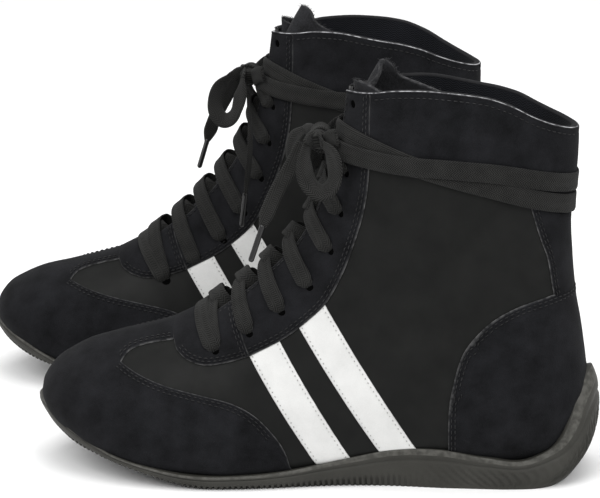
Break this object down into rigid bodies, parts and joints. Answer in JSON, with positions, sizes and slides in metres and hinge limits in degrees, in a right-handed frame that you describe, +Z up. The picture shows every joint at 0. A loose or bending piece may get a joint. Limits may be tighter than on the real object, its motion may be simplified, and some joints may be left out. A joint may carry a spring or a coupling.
{
  "type": "boxing boots",
  "caption": "Pair of ankle-high lace-up boxing boots, suede and smooth synthetic upper with side stripes, thin rubber sole",
  "frame": {"origin": "middle of the pair's box on the floor, laces that hang free left out", "axes": "+Z up, toes towards -X, left boot at -Y, right boot at +Y"},
  "size_m": [0.353, 0.2424, 0.213],
  "materials": {
    "outsole_rubber": "matt",
    "midsole_foam": "foam",
    "insole_board": "pressed fibre",
    "footbed_fabric": "knit",
    "lining_fabric": "knit",
    "stiffener": "thermoplastic sheet",
    "smooth_synthetic": "fine grain",
    "suede": "brushed nap",
    "tongue_suede": "brushed nap, raw edge",
    "white_synthetic": "smooth",
    "lace": "flat weave",
    "aglet": "moulded"
  },
  "bodies": {
    "left_boot": {"left_backstay": "suede", "left_collar": "suede", "left_eyestay_lateral": "suede", "left_eyestay_medial": "suede", "left_footbed": "footbed_fabric", "left_heel_counter": "suede", "left_heel_stiffener": "stiffener", "left_insole_board": "insole_board", "left_lace_ankle_wrap": "lace", "left_lace_knot": "lace", "left_lace_threaded": "lace", "left_lining": "lining_fabric", "left_midsole": "midsole_foam", "left_outsole": "outsole_rubber", "left_quarter_lateral": "smooth_synthetic", "left_quarter_medial": "smooth_synthetic", "left_stripes_lateral": "white_synthetic", "left_stripes_medial": "white_synthetic", "left_throat_piece": "suede", "left_toe_cap": "suede", "left_toe_puff": "stiffener", "left_vamp": "smooth_synthetic"},
    "left_tongue": {"left_tongue": "tongue_suede"},
    "left_lateral_loop": {"left_bow_loop_lateral": "lace"},
    "left_lateral_tail": {"left_lace_tail_lateral": "lace", "left_aglet_lateral": "aglet"},
    "left_medial_loop": {"left_bow_loop_medial": "lace"},
    "left_medial_tail": {"left_lace_tail_medial": "lace", "left_aglet_medial": "aglet"},
    "right_boot": {"right_backstay": "suede", "right_collar": "suede", "right_eyestay_lateral": "suede", "right_eyestay_medial": "suede", "right_footbed": "footbed_fabric", "right_heel_counter": "suede", "right_heel_stiffener": "stiffener", "right_insole_board": "insole_board", "right_lace_ankle_wrap": "lace", "right_lace_knot": "lace", "right_lace_threaded": "lace", "right_lining": "lining_fabric", "right_midsole": "midsole_foam", "right_outsole": "outsole_rubber", "right_quarter_lateral": "smooth_synthetic", "right_quarter_medial": "smooth_synthetic", "right_stripes_lateral": "white_synthetic", "right_stripes_medial": "white_synthetic", "right_throat_piece": "suede", "right_toe_cap": "suede", "right_toe_puff": "stiffener", "right_vamp": "smooth_synthetic"},
    "right_tongue": {"right_tongue": "tongue_suede"},
    "right_lateral_loop": {"right_bow_loop_lateral": "lace"},
    "right_lateral_tail": {"right_lace_tail_lateral": "lace", "right_aglet_lateral": "aglet"},
    "right_medial_loop": {"right_bow_loop_medial": "lace"},
    "right_medial_tail": {"right_lace_tail_medial": "lace", "right_aglet_medial": "aglet"}
  },
  "joints": [
    {"name": "right_boot_move", "type": "slide", "parent": "left_boot", "child": "right_boot", "axis": [0, 1, 0], "range_m": [0, 0.15]},
    {"name": "left_tongue_hinge", "type": "hinge", "parent": "left_boot", "child": "left_tongue", "pos_m": [-0.03732, -0.0725, 0.06959], "axis": [0, 1, 0], "range_deg": [0, 12], "stiffness_Nm_per_rad": 0.05, "springref_deg": -20.05},
    {"name": "left_lateral_loop_swing", "type": "hinge", "parent": "left_boot", "child": "left_lateral_loop", "pos_m": [0.03114, -0.0833, 0.174], "axis": [-1, 0, 0], "range_deg": [0, 60]},
    {"name": "left_lateral_tail_swing", "type": "hinge", "parent": "left_boot", "child": "left_lateral_tail", "pos_m": [0.02434, -0.0745, 0.172], "axis": [-1, 0, 0], "range_deg": [0, 40]},
    {"name": "left_medial_loop_swing", "type": "hinge", "parent": "left_boot", "child": "left_medial_loop", "pos_m": [0.02474, -0.0617, 0.1755], "axis": [1, 0, 0], "range_deg": [0, 60]},
    {"name": "left_medial_tail_swing", "type": "hinge", "parent": "left_boot", "child": "left_medial_tail", "pos_m": [0.03294, -0.0665, 0.1646], "axis": [1, 0, 0], "range_deg": [0, 60]},
    {"name": "right_tongue_hinge", "type": "hinge", "parent": "right_boot", "child": "right_tongue", "pos_m": [-0.09531, 0.0725, 0.06959], "axis": [0, 1, 0], "range_deg": [0, 12], "stiffness_Nm_per_rad": 0.05, "springref_deg": -20.05},
    {"name": "right_lateral_loop_swing", "type": "hinge", "parent": "right_boot", "child": "right_lateral_loop", "pos_m": [-0.02686, 0.0833, 0.174], "axis": [1, 0, 0], "range_deg": [0, 60]},
    {"name": "right_lateral_tail_swing", "type": "hinge", "parent": "right_boot", "child": "right_lateral_tail", "pos_m": [-0.03366, 0.0745, 0.172], "axis": [1, 0, 0], "range_deg": [0, 40]},
    {"name": "right_medial_loop_swing", "type": "hinge", "parent": "right_boot", "child": "right_medial_loop", "pos_m": [-0.03326, 0.0617, 0.1755], "axis": [-1, 0, 0], "range_deg": [0, 60]},
    {"name": "right_medial_tail_swing", "type": "hinge", "parent": "right_boot", "child": "right_medial_tail", "pos_m": [-0.02506, 0.0665, 0.1646], "axis": [-1, 0, 0], "range_deg": [0, 60]}
  ]
}
